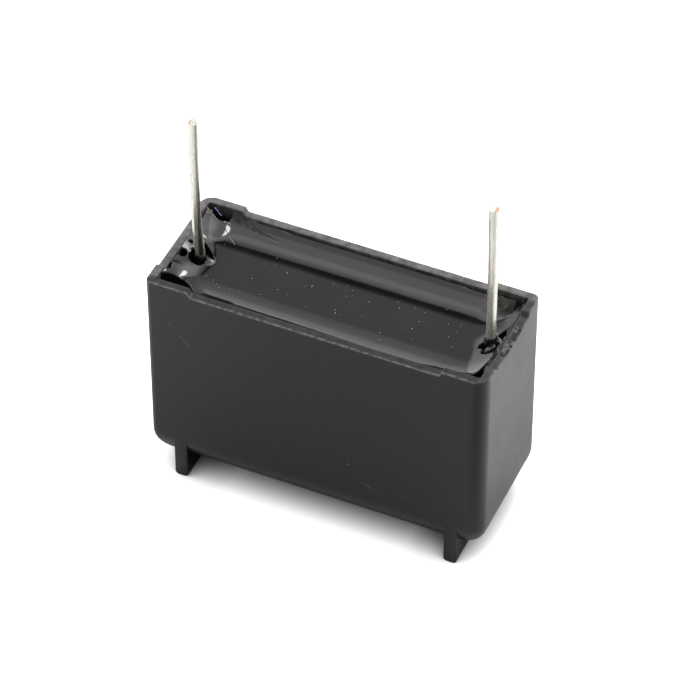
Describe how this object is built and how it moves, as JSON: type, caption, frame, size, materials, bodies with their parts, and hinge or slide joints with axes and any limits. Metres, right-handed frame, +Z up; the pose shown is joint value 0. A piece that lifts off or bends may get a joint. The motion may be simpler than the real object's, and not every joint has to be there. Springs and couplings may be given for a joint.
{
  "type": "induction heating film capacitor",
  "caption": "Box-type film capacitor: open moulded case with round bottom edges and standing ribs, potted in black epoxy, with tinned wire leads rising near its ends.",
  "frame": {"origin": "centre of the footprint, on the plane that the standing ribs rest on", "axes": "+Z up along the leads, +X along the length of the case from the left lead to the right lead, Y across its thickness"},
  "size_m": [0.037, 0.0142, 0.0427],
  "materials": {
    "case": "fine spark-eroded moulding texture, dark grey",
    "potting": "glossy cast epoxy, black",
    "film": "wound metallised film",
    "sprayed_zinc": "rough flame-sprayed zinc",
    "tinned_wire": "dull tin plating, copper bare at the cut tip"
  },
  "bodies": {
    "root": {"case": "case", "potting": "potting", "winding": "film", "end_spray_left": "sprayed_zinc", "end_spray_right": "sprayed_zinc", "lead_left": "tinned_wire", "lead_right": "tinned_wire"}
  },
  "joints": []
}
